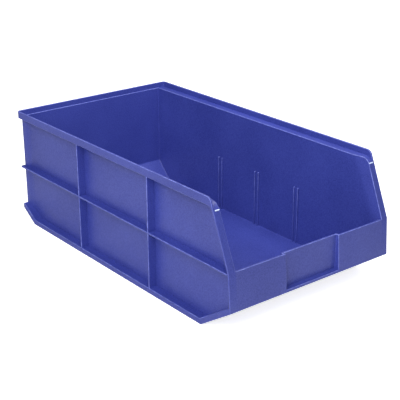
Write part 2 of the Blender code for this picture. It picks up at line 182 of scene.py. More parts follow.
class Bench:
    """Hand operations on mesh objects, one object at a time."""

    @staticmethod
    def hold(obj: bpy.types.Object) -> None:
        """Select one object alone and make it active."""
        bpy.ops.object.select_all(action="DESELECT")
        obj.select_set(True)
        bpy.context.view_layer.objects.active = obj

    @staticmethod
    def block(name: str, x: Span, y: Span, z: Span) -> bpy.types.Object:
        """A block to cut a shape from.

        Args:
            name: Name of the new object.
            x: Its x range in metres.
            y: Its y range in metres.
            z: Its z range in metres.

        Returns:
            The new object, with its place in its mesh.
        """
        bpy.ops.object.select_all(action="DESELECT")
        middle = [(low + high) / 2 for low, high in (x, y, z)]
        size = [high - low for low, high in (x, y, z)]
        bpy.ops.mesh.primitive_cube_add(size=1.0, location=middle, scale=size)
        obj = bpy.context.active_object
        obj.name = name
        bpy.ops.object.transform_apply(location=True, rotation=True, scale=True)
        return obj

    @staticmethod
    def halve(obj: bpy.types.Object, point: Vector, normal: Vector) -> None:
        """Cut off all that lies on a plane's outer side and close the cut.

        Args:
            obj: The object.
            point: A point of the plane.
            normal: Its normal, which points to what is removed.
        """
        Bench.hold(obj)
        bpy.ops.object.mode_set(mode="EDIT")
        bpy.ops.mesh.select_all(action="SELECT")
        bpy.ops.mesh.bisect(
            plane_co=point, plane_no=normal, use_fill=True, clear_outer=True, threshold=SLIT
        )
        bpy.ops.object.mode_set(mode="OBJECT")

    @staticmethod
    def slice(obj: bpy.types.Object, keep: Keep, *slopes: Slope) -> None:
        """Cut an object along slopes, one after the other, and close the cuts.

        Args:
            obj: The object.
            keep: The side of each slope that stays.
            slopes: The planes of the cuts.
        """
        for slope in slopes:
            outer = -slope.normal if keep is Keep.LEFT else slope.normal
            Bench.halve(obj, Vector((0.0, *slope.start)), outer)

    @staticmethod
    def score(obj: bpy.types.Object, point: Vector, normal: Vector, chosen: EdgeTest) -> None:
        """Scribe a line along a plane across the faces beside some edges.

        Args:
            obj: The object.
            point: A point of the plane.
            normal: Its normal.
            chosen: Takes the two end points of an edge.
        """
        Bench.hold(obj)
        bpy.ops.object.mode_set(mode="EDIT")
        bpy.ops.mesh.select_mode(type="FACE")
        bpy.ops.mesh.select_all(action="DESELECT")
        shape = bmesh.from_edit_mesh(obj.data)
        for edge in shape.edges:
            if chosen(edge.verts[0].co, edge.verts[1].co):
                for face in edge.link_faces:
                    face.select_set(True)
        bmesh.update_edit_mesh(obj.data)
        bpy.ops.mesh.bisect(plane_co=point, plane_no=normal, threshold=SLIT)
        bpy.ops.object.mode_set(mode="OBJECT")

    @staticmethod
    def pick(obj: bpy.types.Object, wanted: EdgeFilter) -> int:
        """Go into edit mode with only some edges selected.

        Args:
            obj: The object.
            wanted: Whether an edge is one of them.

        Returns:
            How many edges are selected.
        """
        Bench.hold(obj)
        bpy.ops.object.mode_set(mode="EDIT")
        bpy.ops.mesh.select_mode(type="EDGE")
        bpy.ops.mesh.select_all(action="DESELECT")
        shape = bmesh.from_edit_mesh(obj.data)
        picked = [edge for edge in shape.edges if wanted(edge)]
        for edge in picked:
            edge.select_set(True)
        bmesh.update_edit_mesh(obj.data)
        return len(picked)

    @staticmethod
    def bevel(offset: float, segments: int, slot: int = -1) -> None:
        """Bevel the selected edges and leave edit mode.

        Args:
            offset: Setback of the bevel on each face, in metres.
            segments: Steps across the bevel.
            slot: Material slot of the new faces, or -1 for that of their neighbours.
        """
        bpy.ops.mesh.bevel(
            offset_type="OFFSET",
            offset=offset,
            segments=segments,
            profile=0.5,
            affect="EDGES",
            clamp_overlap=False,
            material=slot,
        )
        bpy.ops.object.mode_set(mode="OBJECT")

    @staticmethod
    def round(
        obj: bpy.types.Object, chosen: EdgeTest, offset: float, segments: int = STEPS
    ) -> None:
        """Bevel the edges that pass a test of their two ends.

        Args:
            obj: The object.
            chosen: Takes the two end points of an edge.
            offset: Setback of the bevel on each face, in metres.
            segments: Steps across the bevel.
        """
        if not Bench.pick(obj, lambda edge: chosen(edge.verts[0].co, edge.verts[1].co)):
            LOG.warning("%s: no edge to round", obj.name)
        Bench.bevel(offset, segments)

    @staticmethod
    def round_sharp(
        obj: bpy.types.Object, angle: float, offset: float, segments: int, spared: EdgeTest
    ) -> int:
        """Bevel the outer edges that turn by more than an angle, and mark their crests for pale
        paint: rub wear and painted highlight.

        Args:
            obj: The object.
            angle: Least turn between the two faces, in radians.
            offset: Setback of the bevel on each face, in metres.
            segments: Steps across the bevel.
            spared: Takes the two end points of an edge that stays as it is.

        Returns:
            How many edges were rounded.
        """
        plain, crest = 0, 1
        obj.data.materials.clear()
        for _ in (plain, crest):
            obj.data.materials.append(None)
        for face in obj.data.polygons:
            face.material_index = plain

        def sharp(edge: bmesh.types.BMEdge) -> bool:
            """Whether an outer edge turns enough and isn't spared."""
            outer = edge.is_manifold and edge.is_convex and edge.calc_face_angle() > angle
            return outer and not spared(edge.verts[0].co, edge.verts[1].co)

        count = Bench.pick(obj, sharp)
        Bench.bevel(offset, segments, crest)
        # Crests are painted pale: partly rub wear, partly painted highlight.
        wear_and_highlight = [1.0] * len(obj.data.vertices)
        for face in obj.data.polygons:
            if face.material_index == plain:
                for corner in face.vertices:
                    wear_and_highlight[corner] = 0.0
        Bench.mark(obj, wear_and_highlight)
        return count

    @staticmethod
    def mark(obj: bpy.types.Object, wear_and_highlight: list[float]) -> None:
        """Write down each point's pale paint: rub wear and painted highlight on crests, a painted
        glint on beads.
        """
        layer = obj.data.attributes.new(WEAR_AND_HIGHLIGHT, "FLOAT", "POINT")
        layer.data.foreach_set("value", wear_and_highlight)

    @staticmethod
    def combine(base: bpy.types.Object, tool: bpy.types.Object, mix: Mix) -> None:
        """Join a tool to a base or cut it away, and use the tool up.

        Args:
            base: The object that stays.
            tool: The object that is consumed.
            mix: Whether to add or cut.
        """
        Bench.hold(base)
        step = base.modifiers.new("combine", "BOOLEAN")
        step.operation = mix.value
        step.solver = "MANIFOLD"
        step.object = tool
        bpy.ops.object.modifier_apply(modifier=step.name)
        bpy.data.objects.remove(tool)

    @staticmethod
    def tidy(obj: bpy.types.Object, reach: float = 0.2 * HAIR) -> None:
        """Merge doubled points and flat neighbours, and turn faces outwards.

        Args:
            obj: The object.
            reach: Points closer than this become one.
        """
        Bench.hold(obj)
        bpy.ops.object.mode_set(mode="EDIT")
        bpy.ops.mesh.select_all(action="SELECT")
        bpy.ops.mesh.remove_doubles(threshold=reach)
        bpy.ops.mesh.dissolve_limited(angle_limit=FLAT)
        bpy.ops.mesh.normals_make_consistent(inside=False)
        bpy.ops.object.mode_set(mode="OBJECT")


@dataclass(frozen=True)
class BinPlan:
    """The planes that every part of the moulding takes its place from."""

    low: Vector
    high: Vector
    wall_x: float
    inner_x: float
    rim_lip_x: float
    ledge_top: float
    ledge_under: float
    body_rear: float
    foot: Point
    head: Point
    floor_front: float
    floor_rear: float
    rear_ramp_head: float
    chamfer_start: float
    wall: float
    mouth_run: Point = (35.5 * MM, 87.5 * MM)
    chamfer_rise: float = 19.7 * MM
    ledge_nose: float = 13.0 * MM
    splay_width: float = 4.6 * MM
    splay_depth: float = 24.0 * MM
    splay_foot: float = 47.0 * MM

    @classmethod
    def from_frame(cls) -> "BinPlan":
        """Read the planes from the CAD nodes' boxes.

        Returns:
            The plan, in metres.
        """
        low, high = (Vector(corner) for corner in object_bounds())
        wall_low, wall_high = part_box("right_side_wall")
        ledge_low, ledge_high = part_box("right_rim_ledge")
        post_low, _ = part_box("right_corner_post")
        flange_low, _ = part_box("right_front_flange")
        floor_low, floor_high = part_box("floor_panel")
        rear_low, rear_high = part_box("rear_wall")
        _, run_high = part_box("right_rail_run")
        return cls(
            low=low,
            high=high,
            wall_x=wall_high.x,
            inner_x=wall_low.x,
            rim_lip_x=ledge_high.x,
            ledge_top=ledge_high.z,
            ledge_under=ledge_low.z,
            body_rear=rear_high.y,
            foot=(post_low.y, post_low.z),
            head=(flange_low.y, flange_low.z),
            floor_front=floor_low.y,
            floor_rear=floor_high.y,
            rear_ramp_head=rear_low.z,
            chamfer_start=run_high.y,
            wall=wall_high.x - wall_low.x,
        )

    @property
    def lip_face(self) -> Slope:
        """Front face of the low front lip, from foot to head."""
        return Slope(self.foot, self.head)

    @property
    def mouth_face(self) -> Slope:
        """Front face of the sloped flanges, going up."""
        y, z = self.head
        return Slope(self.head, (y + self.mouth_run[0], z + self.mouth_run[1]))

    @property
    def front_ramp(self) -> Slope:
        """Under face of the front ramp, from the floor to the lip's foot."""
        return Slope((self.floor_front, self.low.z), self.foot)

    @property
    def rear_ramp(self) -> Slope:
        """Under face of the rear ramp, from the floor to the rear wall."""
        return Slope((self.floor_rear, self.low.z), (self.body_rear, self.rear_ramp_head))

    @property
    def rear_chamfer(self) -> Slope:
        """Lower edge of side walls and rails at the rear."""
        return Slope((self.chamfer_start, self.low.z), (self.body_rear, self.chamfer_rise))

    @property
    def lip_top(self) -> float:
        """Top of the front lip, a hair under the fold so that the two can be merged."""
        return self.head[1] - HAIR

    @property
    def nose_y(self) -> float:
        """Where the slope of the mouth would meet the top of the ledges."""
        return self.mouth_face.y_at(self.ledge_top)

    def setback(self, radius: float) -> float:
        """How far a rounding of the turn from mouth to level reaches along each face.

        Args:
            radius: Radius of the rounding, in metres.

        Returns:
            The distance from the sharp corner to the end of the rounding.
        """
        bend = math.radians(90) - math.atan2(*self.mouth_run)
        return radius * math.tan(bend / 2)

    def splay(self, side: Side) -> tuple[Vector, Vector]:
        """The plane in which the end of a side wall turns outwards to the mouth.

        Args:
            side: The side of the bin.

        Returns:
            A point of the plane and its normal, which points into the bin.
        """
        outer_x, y, z = self.inner_x + self.splay_width, self.nose_y, self.ledge_top
        front = Vector((side.value * outer_x, y, z))
        back = Vector((side.value * self.inner_x, y + self.splay_depth, z))
        low_y = self.lip_face.shifted(-self.wall).y_at(self.splay_foot)
        low = Vector((back.x, low_y, self.splay_foot))
        normal = (back - front).cross(low - front).normalized()
        return back, normal if normal.x * side.value < 0 else -normal

    def splay_x(self, y: float, z: float) -> float:
        """How far from the middle the splayed ends of the walls are at a height and depth."""
        point, normal = self.splay(Side.RIGHT)
        return point.x - (normal.y * (y - point.y) + normal.z * (z - point.z)) / normal.x

    def round_nose(self, obj: bpy.types.Object, slope: Slope, z: float, radius: float) -> None:
        """Round the edges where a slope of the mouth turns level.

        Args:
            obj: The object.
            slope: The slope in front of the turn.
            z: Height of the level face.
            radius: Radius of the rounding, in metres.
        """
        y = slope.y_at(z)

        def turn(a: Vector, b: Vector) -> bool:
            """Whether an edge runs across at the turn."""
            return near(a.y, b.y, y) and near(a.z, b.z, z)

        Bench.round(obj, turn, self.setback(radius))


@dataclass
class Tub:
    """The walls, floor and ramps, hollowed out of one block."""

    plan: BinPlan
    inner_round: float = 1.0 * MM
    inner_steps: int = 4
    clear: float = 30.0 * MM

    def blank(self) -> bpy.types.Object:
        """Shape the outside.

        Returns:
            The solid block, with the rear ramp and the mouth's slope on it.
        """
        plan = self.plan
        tub = Bench.block(
            "parts_bin_moulding",
            (-plan.wall_x, plan.wall_x),
            (plan.low.y, plan.body_rear),
            (plan.low.z, plan.ledge_top),
        )
        Bench.slice(tub, Keep.RIGHT, plan.front_ramp, plan.lip_face, plan.mouth_face)
        Bench.slice(tub, Keep.LEFT, plan.rear_chamfer)
        plan.round_nose(tub, plan.mouth_face, plan.ledge_top, plan.ledge_nose)
        return tub

    def hollow(self, tub: bpy.types.Object) -> None:
        """Cut the underside, the inside and the mouth.

        Args:
            tub: The block with whatever stands on its sides.
        """
        for tool in (self.rear_undercut(), self.cavity(), self.mouth()):
            Bench.combine(tub, tool, Mix.CUT)

    def rear_undercut(self) -> bpy.types.Object:
        """What lies under the rear ramp, between the two side walls."""
        plan = self.plan
        tool = Bench.block(
            "rear_undercut",
            (-plan.inner_x, plan.inner_x),
            (plan.floor_rear - self.clear, plan.body_rear + self.clear),
            (plan.low.z - self.clear, plan.rear_ramp_head + self.clear),
        )
        Bench.slice(tool, Keep.RIGHT, plan.rear_ramp)
        return tool

    def cavity(self) -> bpy.types.Object:
        """The inside of the tub, with its corners rounded."""
        plan = self.plan
        top = plan.high.z + self.clear
        tool = Bench.block(
            "cavity",
            (-plan.inner_x, plan.inner_x),
            (plan.low.y, plan.body_rear - plan.wall),
            (plan.low.z + plan.wall, top),
        )
        ramp, lip = (face.shifted(-plan.wall) for face in (plan.front_ramp, plan.lip_face))
        Bench.slice(tool, Keep.RIGHT, ramp, lip)
        Bench.slice(tool, Keep.LEFT, plan.rear_ramp.shifted(plan.wall))
        corner_z = ramp.z_at(plan.foot[0]) + self.clear

        def rounded(a: Vector, b: Vector) -> bool:
            """Whether an edge is neither on the open top nor at a front corner."""
            front = max(a.y, b.y) < plan.floor_front and max(a.z, b.z) > corner_z
            return not near(a.z, b.z, top) and not front

        Bench.round(tool, rounded, self.inner_round, self.inner_steps)
        for side in Side:
            flare = self.flare(side, plan.splay_foot - self.inner_round)
            Bench.slice(flare, Keep.RIGHT, lip)
            Bench.combine(tool, flare, Mix.ADD)
        return tool

    def mouth(self) -> bpy.types.Object:
        """The opening above the front lip, wider where it meets the side walls."""
        plan = self.plan
        back = plan.mouth_face.y_at(plan.high.z) + self.clear
        tool = Bench.block(
            "mouth",
            (-plan.inner_x, plan.inner_x),
            (plan.low.y - self.clear, back),
            (plan.lip_top, plan.high.z + self.clear),
        )
        for side in Side:
            Bench.combine(tool, self.flare(side, plan.lip_top), Mix.ADD)
        return tool

    def flare(self, side: Side, low: float) -> bpy.types.Object:
        """The room that a side wall leaves where it turns outwards to the mouth.

        Args:
            side: The side of the bin.
            low: Height of the tool's foot, in metres.

        Returns:
            The tool.
        """
        plan = self.plan
        top = plan.high.z + self.clear
        tool = Bench.block(
            "flare",
            side.span(plan.inner_x - plan.splay_width, plan.inner_x + 2 * plan.splay_width),
            (plan.low.y - self.clear, plan.mouth_face.y_at(top) + 2 * plan.splay_depth),
            (low, top),
        )
        point, inwards = plan.splay(side)
        Bench.halve(tool, point, -inwards)
        return tool


@dataclass
class LabelRecess:
    """The middle of the front lip, set back on two returns and a shelf."""

    plan: BinPlan
    corner_round: float = 1.0 * MM
    corner_steps: int = 3
    back_inset: float = 1.0 * MM
    back_drop: float = 12.0 * MM
    clear: float = 20.0 * MM

    def fit(self, body: bpy.types.Object) -> None:
        """Thicken the lip behind the recess, then cut the recess.

        Args:
            body: The moulding so far.
        """
        plan = self.plan
        low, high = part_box("label_panel")
        back = Bench.block(
            "label_back",
            (low.x - plan.wall, high.x + plan.wall),
            (plan.low.y + self.back_inset, high.y),
            (low.z - self.back_drop, plan.lip_top),
        )
        within = [face.shifted(-plan.wall / 2) for face in (plan.front_ramp, plan.lip_face)]
        Bench.slice(back, Keep.RIGHT, *within)

        def behind(a: Vector, b: Vector) -> bool:
            """Whether an edge stands up at the back of the returns."""
            return near(a.x, b.x) and near(a.y, b.y, high.y)

        Bench.round(back, behind, self.corner_round + plan.wall / 2)
        Bench.combine(body, back, Mix.ADD)
        recess = Bench.block(
            "recess",
            (low.x, high.x),
            (plan.low.y - self.clear, low.y),
            (low.z, plan.head[1] + self.clear),
        )

        def deep(a: Vector, b: Vector) -> bool:
            """Whether an edge is at the back of the recess, away from its open top."""
            return near(a.y, b.y, low.y) and min(a.z, b.z) < plan.head[1]

        Bench.round(recess, deep, self.corner_round, self.corner_steps)
        Bench.combine(body, recess, Mix.CUT)


@dataclass
class FrontWing:
    """A corner post and sloped flange in one bent strip that turns over into the ledge."""

    plan: BinPlan
    side: Side
    overlap: float = 1.0 * MM
    reach: float = 30.0 * MM
    ridge_drop: float = 16.0 * MM
    bead_radius: float = 0.8 * MM
    bead_round: float = 0.64 * MM
    bead_sides: int = 32
    bead_drop: float = 7.1 * MM

    def fit(self, body: bpy.types.Object) -> None:
        """Cut the strip from a block and join it, then the ridge along its outer edge.

        Args:
            body: The moulding so far.
        """
        plan = self.plan
        back = plan.nose_y + self.reach
        strip = Bench.block(
            f"{self.side.word}_front_wing",
            self.side.span(plan.wall_x - self.overlap, plan.high.x),
            (plan.low.y, back),
            (plan.low.z, plan.ledge_top),
        )
        Bench.slice(strip, Keep.RIGHT, plan.front_ramp, plan.lip_face, plan.mouth_face)
        plan.round_nose(strip, plan.mouth_face, plan.ledge_top, plan.ledge_nose)
        hollow = Bench.block(
            "wing_hollow",
            self.side.span(plan.wall_x - 2 * self.overlap, plan.high.x + self.reach),
            (plan.low.y - self.reach, back + self.reach),
            (plan.low.z - self.reach, plan.ledge_under),
        )
        lip, mouth = (face.shifted(-plan.wall) for face in (plan.lip_face, plan.mouth_face))
        Bench.slice(hollow, Keep.RIGHT, lip, mouth)
        plan.round_nose(hollow, mouth, plan.ledge_under, plan.ledge_nose - plan.wall)
        point, inwards = plan.splay(self.side)
        Bench.halve(hollow, point - plan.wall * inwards, inwards)
        Bench.combine(strip, hollow, Mix.CUT)
        Bench.combine(strip, self.ridge(), Mix.ADD)
        Bench.combine(body, strip, Mix.ADD)

    def ridge(self) -> bpy.types.Object:
        """The flange's outer edge, which runs straight up to the rim's lip past the nose."""
        plan = self.plan
        ridge = Bench.block(
            "ridge",
            self.side.span(plan.rim_lip_x, plan.high.x),
            (plan.low.y, plan.nose_y + self.reach),
            (plan.ledge_top - self.ridge_drop, plan.ledge_top),
        )
        Bench.slice(ridge, Keep.RIGHT, plan.mouth_face)
        Bench.slice(ridge, Keep.LEFT, plan.mouth_face.shifted(-plan.wall))
        return ridge

    def bead(self, start: float) -> bpy.types.Object:
        """The small half-round bar across the flange at the foot of its nose.

        Args:
            start: Distance of its inner end from the middle.

        Returns:
            The bar, which is half sunk in the flange.
        """
        plan = self.plan
        z = plan.ledge_top - self.bead_drop
        first, last = self.side.span(start, plan.rim_lip_x - 0.2 * self.bead_radius)
        bpy.ops.object.select_all(action="DESELECT")
        bpy.ops.mesh.primitive_cylinder_add(
            vertices=self.bead_sides,
            radius=self.bead_radius,
            depth=last - first,
            location=((first + last) / 2, plan.mouth_face.y_at(z), z),
            rotation=(0.0, math.radians(90), 0.0),
        )
        bead = bpy.context.active_object
        bead.name = "bead"
        bpy.ops.object.transform_apply(location=True, rotation=True, scale=True)

        def cap(a: Vector, b: Vector) -> bool:
            """Whether an edge goes round either end."""
            return near(a.x, b.x)

        Bench.round(bead, cap, self.bead_round)
        # The whole bead is painted with a glint.
        Bench.mark(bead, [GLINT] * len(bead.data.vertices))
        return bead


@dataclass
class StackingRim:
    """The ledges along the sides and the raised lip round both sides and the rear."""

    plan: BinPlan
    corner_radius: float = 5.0 * MM
    corner_steps: int = 10
    inner_steps: int = 4
    nose_radius: float = 8.3 * MM
    rear_lip: float = 1.8 * MM
    ledge_start: float = 14.0 * MM
    overlap: float = 1.0 * MM
    clear: float = 20.0 * MM

    def fit(self, body: bpy.types.Object) -> None:
        """Join both ledges, then the lip.

        Args:
            body: The moulding so far.
        """
        for side in Side:
            Bench.combine(body, self.ledge(side), Mix.ADD)
        Bench.combine(body, self.lip(), Mix.ADD)

    @staticmethod
    def rear_corner(x: float, y: float) -> EdgeTest:
        """A test for the upright rear edges at these distances."""

        def corner(a: Vector, b: Vector) -> bool:
            """Whether an edge stands at either rear corner."""
            return near(abs(a.x), abs(b.x), x) and near(a.y, b.y, y) and near(a.x, b.x)

        return corner

    def round_rear(self, obj: bpy.types.Object) -> None:
        """Round the outer rear corners of a piece of the rim."""
        corner = self.rear_corner(self.plan.high.x, self.plan.body_rear)
        Bench.round(obj, corner, self.corner_radius, self.corner_steps)

    def ledge(self, side: Side) -> bpy.types.Object:
        """One flat ledge at the head of a side wall."""
        plan = self.plan
        ledge = Bench.block(
            "ledge",
            side.span(plan.wall_x - self.overlap, plan.high.x),
            (plan.nose_y + self.ledge_start, plan.body_rear),
            (plan.ledge_under, plan.ledge_top),
        )
        self.round_rear(ledge)
        return ledge

    def lip(self) -> bpy.types.Object:
        """The raised lip, which ends in a rounded nose over each sloped flange."""
        plan = self.plan
        lip = Bench.block(
            "rim_lip",
            (-plan.high.x, plan.high.x),
            (plan.low.y, plan.body_rear),
            (plan.ledge_under, plan.high.z),
        )
        self.round_rear(lip)
        hollow = Bench.block(
            "rim_hollow",
            (-plan.rim_lip_x, plan.rim_lip_x),
            (plan.low.y - self.clear, plan.body_rear - self.rear_lip),
            (plan.ledge_under - self.clear, plan.high.z + self.clear),
        )
        inner = self.corner_radius - (plan.high.x - plan.rim_lip_x)
        corner = self.rear_corner(plan.rim_lip_x, plan.body_rear - self.rear_lip)
        Bench.round(hollow, corner, inner, self.inner_steps)
        Bench.combine(lip, hollow, Mix.CUT)
        Bench.slice(lip, Keep.RIGHT, plan.mouth_face)
        plan.round_nose(lip, plan.mouth_face, plan.high.z, self.nose_radius)
        return lip


@dataclass
class SideRibs:
    """The long mid rib and the upright ribs of one side."""

    plan: BinPlan
    side: Side
    overlap: float = 1.0 * MM
    tip_round: float = 2.6 * MM
    upright_foot: float = 6.0 * MM

    def fit(self, body: bpy.types.Object) -> None:
        """Join the ribs of this side.

        Args:
            body: The moulding so far.
        """
        plan = self.plan
        x = self.side.span(plan.wall_x - self.overlap, plan.high.x)
        low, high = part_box(f"{self.side.word}_mid_rib")
        y = (low.y - plan.wall / 2, plan.body_rear)
        rib = Bench.block("mid_rib", x, y, (low.z, high.z))
        outer = self.side.value * plan.high.x

        def tip(a: Vector, b: Vector) -> bool:
            """Whether an edge stands at the rib's outer rear tip."""
            return near(a.x, b.x, outer) and near(a.y, b.y, plan.body_rear)

        Bench.round(rib, tip, self.tip_round)
        Bench.combine(body, rib, Mix.ADD)
        for number in (1, 2):
            low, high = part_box(f"{self.side.word}_upright_{number}_lower")
            z = (plan.low.z + self.upright_foot, plan.ledge_under + self.overlap)
            Bench.combine(body, Bench.block("upright", x, (low.y, high.y), z), Mix.ADD)


@dataclass
class RearPost:
    """The shallow upright thickening where a side wall meets the rear wall."""

    plan: BinPlan
    side: Side
    rise: float = 4.3 * MM
    flat: float = 7.0 * MM
    run: float = 21.0 * MM
    soft: float = 5.0 * MM
    soft_steps: int = 4
    overlap: float = 1.0 * MM

    def fit(self, body: bpy.types.Object) -> None:
        """Shape the post from a block and join it.

        Args:
            body: The moulding so far.
        """
        plan = self.plan
        outer = plan.wall_x + self.rise
        post = Bench.block(
            "rear_post",
            self.side.span(plan.wall_x - self.overlap, outer),
            (plan.body_rear - self.run - self.flat, plan.body_rear),
            (plan.low.z, plan.ledge_under + self.overlap),
        )
        Bench.slice(post, Keep.LEFT, plan.rear_chamfer)
        crest = Vector((self.side.value * outer, plan.body_rear - self.flat, 0.0))
        slant = Vector((self.side.value * (self.run - self.flat), -self.rise, 0.0))
        Bench.halve(post, crest, slant)

        def brow(a: Vector, b: Vector) -> bool:
            """Whether an edge stands where the slant meets the crest."""
            return near(a.x, b.x, crest.x) and near(a.y, b.y, crest.y)

        Bench.round(post, brow, self.soft, self.soft_steps)
        Bench.combine(body, post, Mix.ADD)


@dataclass
class BaseRail:
    """The hollow rail along the foot of one side, with its front and rear rises."""

    plan: BinPlan
    side: Side
    height: float = 8.0 * MM
    web: float = 2.8 * MM
    overlap: float = 1.0 * MM
    end_setback: float = 5.0 * MM
    blank_height: float = 70.0 * MM
    clear: float = 20.0 * MM

    def above(self, x: Span, height: float) -> bpy.types.Object:
        """Everything above the rail's outline at one height over its foot.

        Args:
            x: The x range of the block.
            height: Distance from the foot outline, in metres.

        Returns:
            A block bounded by the two rises and the flat run.
        """
        plan = self.plan
        y = (plan.low.y - self.clear, plan.body_rear + self.clear)
        z = (plan.low.z + height, plan.low.z + self.blank_height + self.clear)
        tool = Bench.block("above", x, y, z)
        Bench.slice(tool, Keep.RIGHT, plan.front_ramp.shifted(-height))
        Bench.slice(tool, Keep.LEFT, plan.rear_chamfer.shifted(height))
        return tool

    def fit(self, body: bpy.types.Object) -> None:
        """Shape the rail, hollow it from below and join it.

        Args:
            body: The moulding so far.
        """
        plan = self.plan
        x = self.side.span(plan.wall_x - self.overlap, plan.high.x)
        wide = self.side.span(plan.wall_x - 2 * self.overlap, plan.high.x + self.clear)
        top = plan.low.z + self.blank_height
        rail = Bench.block("rail", x, (plan.low.y, plan.body_rear), (plan.low.z, top))
        Bench.slice(rail, Keep.RIGHT, plan.front_ramp, plan.lip_face)
        Bench.slice(rail, Keep.LEFT, plan.rear_chamfer)
        Bench.combine(rail, self.above(wide, self.height), Mix.CUT)
        tip_z = plan.rear_chamfer.shifted(self.height).z_at(plan.body_rear)

        def rear_tip(a: Vector, b: Vector) -> bool:
            """Whether an edge is the rail's upper rear corner."""
            return near(a.y, b.y, plan.body_rear) and near(a.z, b.z, tip_z)

        Bench.round(rail, rear_tip, self.end_setback)
        inside = self.side.span(plan.wall_x, plan.high.x - self.web)
        y = (plan.foot[0] + plan.wall, plan.body_rear - self.web)
        hollow = Bench.block("channel", inside, y, (plan.low.z - self.clear, top))
        Bench.combine(hollow, self.above(wide, self.height - self.web), Mix.CUT)
        Bench.combine(rail, hollow, Mix.CUT)
        Bench.combine(body, rail, Mix.ADD)


@dataclass
class DividerSlots:
    """The pairs of low upright ribs inside one side wall."""

    plan: BinPlan
    side: Side
    pairs: int = 3
    overlap: float = 1.0 * MM
    head_round: float = 1.4 * MM

    def fit(self, body: bpy.types.Object) -> None:
        """Join each rib.

        Args:
            body: The moulding so far.
        """
        for pair in range(1, self.pairs + 1):
            for end in "ab":
                Bench.combine(body, self.rib(pair, end), Mix.ADD)

    def rib(self, pair: int, end: str) -> bpy.types.Object:
        """One rib, rounded at its head and sunk in the floor and the wall.

        Args:
            pair: Number of its pair.
            end: Its letter in the pair.

        Returns:
            The rib.
        """
        low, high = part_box(f"{self.side.word}_slot_{pair}{end}")
        reach = min(abs(low.x), abs(high.x))
        x = self.side.span(reach, self.plan.inner_x + self.overlap)
        z = (self.plan.low.z + self.overlap, high.z)
        rib = Bench.block("slot_rib", x, (low.y, high.y), z)
        free_x = self.side.value * reach

        def head(a: Vector, b: Vector) -> bool:
            """Whether an edge is the rib's free edge at its head."""
            return near(a.x, b.x, free_x) and near(a.z, b.z, high.z)

        Bench.round(rib, head, self.head_round)
        return rib


@dataclass
class RearHanger:
    """The hanger rail and the two stand-off ribs on the rear wall."""

    plan: BinPlan
    overlap: float = 1.0 * MM
    turn_setback: float = 2.0 * MM

    def fit(self, body: bpy.types.Object) -> None:
        """Join the hanger and the stand-offs.

        Args:
            body: The moulding so far.
        """
        Bench.combine(body, self.rail(), Mix.ADD)
        for side in Side:
            Bench.combine(body, self.standoff(side), Mix.ADD)

    def rail(self) -> bpy.types.Object:
        """The hanger: a web out from the rear wall and a lip down from its edge."""
        plan = self.plan
        web_low, web_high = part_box("hanger_web")
        lip_low, lip_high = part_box("hanger_lip")
        x = (web_low.x, web_high.x)
        y = (plan.body_rear - self.overlap, lip_high.y)
        rail = Bench.block("hanger", x, y, (lip_low.z, web_high.z))

        def turn(a: Vector, b: Vector) -> bool:
            """Whether an edge is the outer turn of the hanger."""
            return near(a.y, b.y, lip_high.y) and near(a.z, b.z, web_high.z)

        Bench.round(rail, turn, self.turn_setback)
        wide = (x[0] - self.overlap, x[1] + self.overlap)
        z = (lip_low.z - self.overlap, web_low.z)
        gap = Bench.block("gap", wide, (plan.body_rear, lip_low.y), z)
        Bench.combine(rail, gap, Mix.CUT)
        return rail

    def standoff(self, side: Side) -> bpy.types.Object:
        """The rib on one side, with its foot and head cut back at 45 degrees."""
        low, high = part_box(f"{side.word}_standoff")
        y = (low.y - self.overlap, high.y)
        rib = Bench.block("standoff", (low.x, high.x), y, (low.z, high.z))
        rise = high.y - low.y
        Bench.slice(rib, Keep.LEFT, Slope((low.y, low.z), (high.y, low.z + rise)))
        Bench.slice(rib, Keep.RIGHT, Slope((low.y, high.z), (high.y, high.z - rise)))
        return rib


class Blend(Enum):
    """How two grey values become one."""

    SUM = "ADD"
    PRODUCT = "MULTIPLY"


